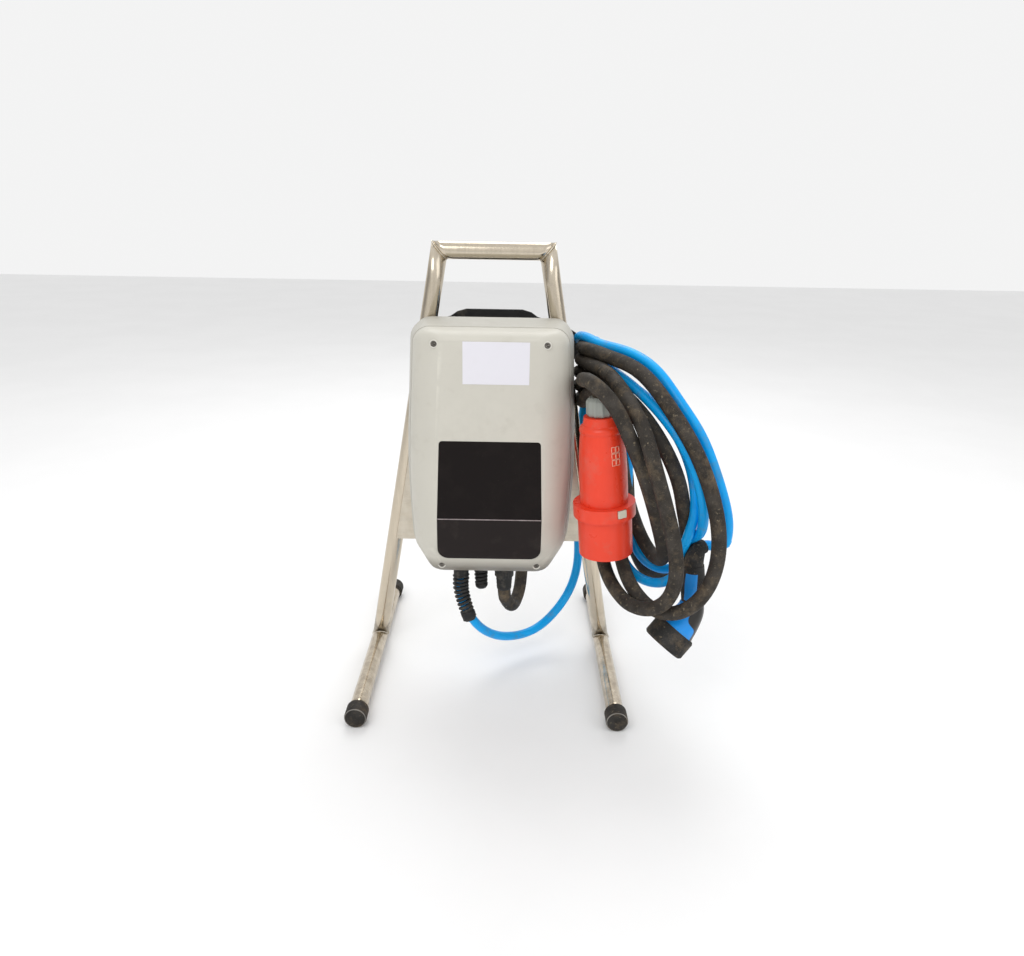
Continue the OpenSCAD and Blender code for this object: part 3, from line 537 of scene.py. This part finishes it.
brass = Look("contact_metal", (0.18, 0.35), 1.0).paint((0.75, 0.62, 0.42)).cloud((0.4, 0.3, 0.18), 200, 0.4, 0.7)
made["contact_metal"] = brass.bump((900, 900, 60), 0.1).done()
jacket = Look("charge_jacket", (0.26, 0.42), Specular_IOR_Level=0.3).paint((0.0, 0.40, 0.90))
jacket.cloud((0.0, 0.31, 0.80), 22, 0.42, 0.66, 0.6).cloud((0.16, 0.17, 0.16), 40, 0.56, 0.74, 0.5, (2, 5, 1), 8)
made["charge_jacket"] = jacket.bump(700, 0.14, 0.0003).done()

record = frame["record"]


def dress(piece, slot, look=None):
    """Gives a piece its material: the look's if one is given, else the slot's."""
    piece.data.materials.clear()
    piece.data.materials.append(made[look or slot])
    return piece


dress(supply_cable, "supply_rubber")
dress(charge_cable, "charge_jacket")


# ------------------------------------------------------------------ finer CAD pieces
def body_of(node):
    for body, members in record["behaviour"]["bodies"].items():
        if node in members:
            return body
    return "post"


def finer(node, width, segments=2, angle=32, sharp=38):
    """The node's own shape with rounded edges and smooth curved faces."""
    data = nodes[node].data.copy()
    data.name = node + "_fine"
    work = bmesh.new()
    work.from_mesh(data)
    bmesh.ops.remove_doubles(work, verts=work.verts, dist=0.00001)
    bmesh.ops.dissolve_limit(work, angle_limit=radians(0.6), verts=work.verts, edges=work.edges)
    bmesh.ops.recalc_face_normals(work, faces=work.faces)
    for face in work.faces:
        face.smooth = True
    for edge in work.edges:
        edge.smooth = not (edge.is_manifold and edge.calc_face_angle(0) > radians(sharp))
    work.to_mesh(data)
    work.free()
    piece = bpy.data.objects.new(node + "_fine", data)
    scene.collection.objects.link(piece)
    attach(piece, body_of(node))
    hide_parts(node)
    if width:
        bevel = piece.modifiers.new("edges", "BEVEL")
        bevel.width = width
        bevel.segments = segments
        bevel.limit_method = "ANGLE"
        bevel.angle_limit = radians(angle)
        bevel.harden_normals = True
    return piece


slot_of = {part["node"]: part["material_slot"] for part in record["subparts"]}
edges = {
    "front_cover": 0.0008, "rear_housing": 0.0008, "window_panel": 0.0004, "lower_panel": 0.0004,
    "mounting_plate": 0.0004, "hanger_bracket": 0.0012, "cable_hanger": 0.0012,
    "plug_body": 0.0005, "plug_shroud": 0.0007, "plug_latch": 0.0007, "charge_gland": 0.0005,
    "supply_gland": 0.0005, "spare_gland": 0.0005, "cover_screws": 0.0003, "wall_bolts": 0.0003,
    "wall_nuts": 0.0003, "hanger_screws": 0.0003, "connector_body": 0.0, "connector_grip": 0.0005,
    "connector_boot": 0.0, "connector_head": 0.0008, "connector_inlay": 0.0006, "plug_pins": 0.0003,
    "foot_cap_front_left": 0.0008, "foot_cap_front_right": 0.0008, "foot_cap_rear_left": 0.0008,
    "foot_cap_rear_right": 0.0008}
for name, node in nodes.items():
    node.data.materials[0] = made[slot_of[name]]
for name, width in edges.items():
    # The cover's screws get the dark steel that paints the shade in their recesses
    dress(finer(name, width), slot_of[name], "screw_recess_shade" if name == "cover_screws" else None)


# ------------------------------------------------------------------ the stand's tubes
def leg_x(z):
    """How far from the middle a leg is at a height, both in metres."""
    return leg_top_x / 1000 + (leg_top_z / 1000 - z) * leg_slope


def mitred(name, start, end, radius, cuts, node, sides=56):
    """A straight tube that replaces a node, each end cut by a plane given as (point, normal)."""
    start, end = Vector(start), Vector(end)
    along = (end - start).normalized()
    one = along.cross(Vector((0, 1, 0)) if abs(along.y) < 0.9 else Vector((1, 0, 0))).normalized()
    two = along.cross(one)
    verts = []
    for middle, cut in zip((start, end), cuts):
        for k in range(sides):
            t = 2 * pi * k / sides
            v = middle + (one * cos(t) + two * sin(t)) * radius
            if cut:
                point, normal = cut
                v = v + along * ((point - v).dot(normal) / along.dot(normal))
            verts.append(v)
    rows = 14
    full = [verts[k].lerp(verts[sides + k], i / rows) for i in range(rows + 1) for k in range(sides)]
    piece = mesh_piece(name, full, skin(rows + 1, sides))
    for face in piece.data.polygons[-2:]:
        face.use_smooth = False
    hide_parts(node)
    dress(piece, "stainless_tube")


tube_r = 0.0127
corners = {}
for side, sign in (("left", -1), ("right", 1)):
    corner = Vector((sign * leg_top_x, leg_y, leg_top_z)) / 1000
    along_bar = Vector((-sign, 0, 0))
    down_leg = Vector((sign * leg_slope, 0, -1)).normalized()
    inward = (along_bar + down_leg).normalized()
    corners[side] = (corner, along_bar, inward)
    plane = (corner, inward.cross(Vector((0, 1, 0))).normalized())
    foot_at = Vector((sign * leg_x(0.018), leg_y / 1000, 0.018))
    mitred("leg_tube_" + side, corner, foot_at, tube_r, (plane, None), "leg_" + side)
    low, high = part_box("foot_tube_" + side)
    middle = Vector(((low.x + high.x) / 2, 0, (low.z + high.z) / 2))
    mitred("foot_tube_fine_" + side, middle + Vector((0, low.y, 0)), middle + Vector((0, high.y, 0)),
           (high.x - low.x) / 2, (None, None), "foot_tube_" + side)
planes = [(c, inward.cross(Vector((0, 1, 0))).normalized()) for c, _, inward in corners.values()]
mitred("handle_tube", corners["left"][0], corners["right"][0], tube_r, planes, "handle_bar")


def ribbed(name, node, levels, ribs, depth, base, axis, sides=144):
    """A grip ring round an axis: levels are (distance down the axis, radius)."""
    one = axis.cross(Vector((0, 1, 0))).normalized()
    two = axis.cross(one)
    verts = []
    for down_by, radius in levels:
        for k in range(sides):
            t = 2 * pi * k / sides
            r = radius + depth * max(cos(ribs * t), -0.35)
            verts.append(base + axis * down_by + (one * cos(t) + two * sin(t)) * r)
    piece = mesh_piece(name, verts, skin(len(levels), sides))
    for face in piece.data.polygons[-2:]:
        face.use_smooth = False
    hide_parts(node)
    dress(piece, slot_of[node])


plug_head = Vector(plug_top) / 1000
plug_down = Vector((sin(plug_lean), 0, -cos(plug_lean)))
ribbed("plug_nut_ribbed", "plug_nut", ((0.0, 0.0145), (0.0022, 0.0158), (0.0030, 0.0176), (0.0055, 0.0186),
                                      (0.0205, 0.0190), (0.0235, 0.0182), (0.0249, 0.0166)),
       12, 0.0009, plug_head, plug_down)


# ------------------------------------------------------------------ small pieces
def spiral(name, points, radius, wire, pitch, node, taper=0.16):
    """A spring of plastic wound round a lead, with a plain cuff at its end."""
    line = even(catmull(np.array(points) / 1000, 0.001), 0.0008)
    one, two = frames(line)
    turn = np.arange(len(line)) * 0.0008 / pitch * 2 * pi
    grow = radius * (1 - taper * np.linspace(0, 1, len(line)))
    path = line + (one * np.cos(turn)[:, None] + two * np.sin(turn)[:, None]) * grow[:, None]
    piece = tube(name, even(path, 0.0025), wire, sides=8)
    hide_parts(node)
    cuff = line[int(len(line) * 0.86):]
    outer = radius * (1 - taper) + wire * 0.9
    dress(tube(name + "_cuff", cuff, outer, sides=24, radii=1 - 0.12 * np.linspace(0, 1, len(cuff)) ** 3),
          "gland_plastic")
    dress(piece, "gland_plastic")


spiral("spiral_guard_long", [(-44, -58, 174), (-44, -60, 150), (-38, -65, 126), (-30, -70, 104)],
       0.0106, 0.0026, 0.0064, "bend_spiral_long")
spiral("spiral_guard_short", [(-14, -40, 174), (-14, -41, 160), (-13, -42, 146)],
       0.0090, 0.0026, 0.0060, "bend_spiral_short")
stub = tube("spare_stub", [(-0.014, -0.04, 0.174), (-0.014, -0.041, 0.16), (-0.013, -0.042, 0.147)], 0.006)
dress(stub, "gland_plastic")
relief = tube("supply_relief", [(0.022, -0.056, 0.1745 - 0.003 * k) for k in range(9)], 0.001,
              radii=[12.6 - 0.2 * k + 0.35 * (k % 2) for k in range(9)], sides=24)
dress(relief, "gland_plastic")


def weld_line(name, points, radius, ripple=0.0022, look="weld", slot="stainless_tube", cyclic=False):
    """A weld: a bead that swells and shrinks along its length."""
    line = even(np.array(points, float), ripple)
    radii = 1 + 0.22 * np.sin(np.arange(len(line)) * 2.1) + 0.12 * rng.standard_normal(len(line))
    piece = tube(name, line, radius, radii=np.clip(radii, 0.6, 1.5), sides=8, ring=cyclic)
    return dress(piece, slot, look)


for side, sign in (("left", -1), ("right", 1)):
    corner, along_bar, inward = corners[side]
    reach = tube_r / sin(inward.angle(along_bar))
    ring = [corner + inward * reach * cos(t) * 1.01 + Vector((0, 1, 0)) * tube_r * 1.01 * sin(t)
            for t in np.linspace(0, 2 * pi, 60, endpoint=False)]
    weld_line("corner_weld_" + side, [tuple(p) for p in ring], 0.0007, 0.0016, cyclic=True)
    foot_weld = []
    for t in np.linspace(0, 2 * pi, 50, endpoint=False):
        dx, dy = 0.0134 * sin(t), 0.0134 * cos(t)
        z = 0.0156 + (max(0.0135 ** 2 - dx ** 2, 0)) ** 0.5
        foot_weld.append((sign * leg_x(z) + dx, leg_y / 1000 + dy, z))
    weld_line("foot_weld_" + side, foot_weld, 0.0009, 0.0022, cyclic=True)
    for k, (low, high) in enumerate(((0.215, 0.245), (0.34, 0.37), (0.475, 0.505))):
        bead = [(sign * (leg_x(z) - 0.0121), 0.0155, z) for z in np.linspace(low, high, 12)]
        weld_line(f"plate_weld_{side}_{k}", bead, 0.0021, 0.0024)

# A generic blank grid moulded on the plug's side
mark_turn = radians(28)
out = Vector((cos(plug_lean) * sin(mark_turn), -cos(mark_turn), sin(plug_lean) * sin(mark_turn)))
side_way = plug_down.cross(out).normalized()
for row in range(3):
    for column in range(2):
        loop = []
        for a, b in ((-1, -1), (-1, 0), (-1, 1), (0, 1), (1, 1), (1, 0), (1, -1), (0, -1)):
            turn = 0.2 * (column - 0.5) + 0.085 * b
            far = 0.0311 + 0.0005 * row
            loop.append(plug_head + plug_down * (0.066 + 0.0088 * row + 0.0038 * a)
                        + out * far * cos(turn) + side_way * far * sin(turn))
        dress(tube(f"plug_mark_{row}_{column}", loop, 0.0007, sides=6, ring=True), "plug_red", "plug_pale")

# Pale rims round the cover's recessed screws as painted highlights on the recess edges, and worn rims on the
# foot caps' ends
screw_points = np.array([v.co for v in nodes["cover_screws"].data.vertices])
for k, (x, z) in enumerate(((-0.075, 0.537), (0.075, 0.537), (-0.069, 0.212), (0.069, 0.212))):
    close = screw_points[np.hypot(screw_points[:, 0] - x, screw_points[:, 2] - z) < 0.008]
    front = close[:, 1].min() - 0.0002
    rim = [(x + 0.0049 * cos(t), front, z + 0.0049 * sin(t))
           for t in np.linspace(0, 2 * pi, 36, endpoint=False)]
    dress(tube(f"screw_rim_highlight_{k}", rim, 0.0008, "cover", sides=8, ring=True), "cover_plastic", "screw_rim_highlight")
    # Screw slots in the same dark steel, painted shade
    slot_line = [(x - 0.0024 + 0.0012 * i, front - 0.0001, z + 0.0004 * (i - 2)) for i in range(5)]
    dress(tube(f"screw_slot_{k}", slot_line, 0.0005, "cover", sides=6), "zinc_steel", "screw_recess_shade")
for side in ("left", "right"):
    low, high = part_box("foot_cap_front_" + side)
    x, z, r = (low.x + high.x) / 2, (low.z + high.z) / 2, (high.x - low.x) / 2 - 0.0012
    rim = [(x + r * cos(t), low.y + 0.0007, max(z + r * sin(t), 0.0009))
           for t in np.linspace(0, 2 * pi, 48, endpoint=False)]
    dress(tube("cap_rim_" + side, rim, 0.0007, sides=8, ring=True), "cap_rubber", "cap_rim")

# ------------------------------------------------------------------ floor and light
floor_mesh = bpy.data.meshes.new("floor")
floor_mesh.from_pydata([(-6, -6, 0), (6, -6, 0), (6, 6, 0), (-6, 6, 0)], [], [(0, 1, 2, 3)])
floor = bpy.data.objects.new("floor", floor_mesh)
scene.collection.objects.link(floor)
floor_look = Look("floor", (0.6, 0.75)).paint((0.90, 0.90, 0.90)).cloud((0.885, 0.885, 0.885), 3, 0.4, 0.6)
floor.data.materials.append(floor_look.bump(60, 0.05, 0.0005).done())

world = bpy.data.worlds.new("studio")
world.use_nodes = True
tree = world.node_tree
seen = tree.nodes.new("ShaderNodeTexCoord")
split = tree.nodes.new("ShaderNodeSeparateXYZ")
tree.links.new(seen.outputs["Generated"], split.inputs[0])
side = tree.nodes.new("ShaderNodeMath")
side.operation = "ABSOLUTE"
tree.links.new(split.outputs["Y"], side.inputs[0])
open_to = tree.nodes.new("ShaderNodeMath")
open_to.operation = "MAXIMUM"
tree.links.new(side.outputs[0], open_to.inputs[0])
tree.links.new(split.outputs["Z"], open_to.inputs[1])
soft = tree.nodes.new("ShaderNodeMapRange")
soft.interpolation_type = "SMOOTHSTEP"
soft.inputs["From Min"].default_value = 0.1
soft.inputs["From Max"].default_value = 0.85
soft.inputs["To Min"].default_value = 0.40
soft.inputs["To Max"].default_value = 0.90
tree.links.new(open_to.outputs[0], soft.inputs["Value"])
tree.links.new(soft.outputs["Result"], tree.nodes["Background"].inputs["Strength"])
tree.nodes["Background"].inputs["Color"].default_value = (1.0, 1.0, 1.0, 1.0)
scene.world = world


def lamp(name, place, aim, size, power, colour=(1, 1, 1)):
    data = bpy.data.lights.new(name, "AREA")
    data.size = size
    data.energy = power
    data.color = colour
    light = bpy.data.objects.new(name, data)
    light.location = place
    light.rotation_euler = (Vector(aim) - Vector(place)).to_track_quat("-Z", "Y").to_euler()
    scene.collection.objects.link(light)


lamp("key", (-0.9, -1.9, 2.1), (0, 0, 0.3), 1.3, 16)
lamp("fill", (1.9, -1.3, 1.3), (0, 0, 0.3), 1.5, 7)
lamp("back", (0.1, 1.2, 2.2), (0, 0, 0.5), 1.5, 20)
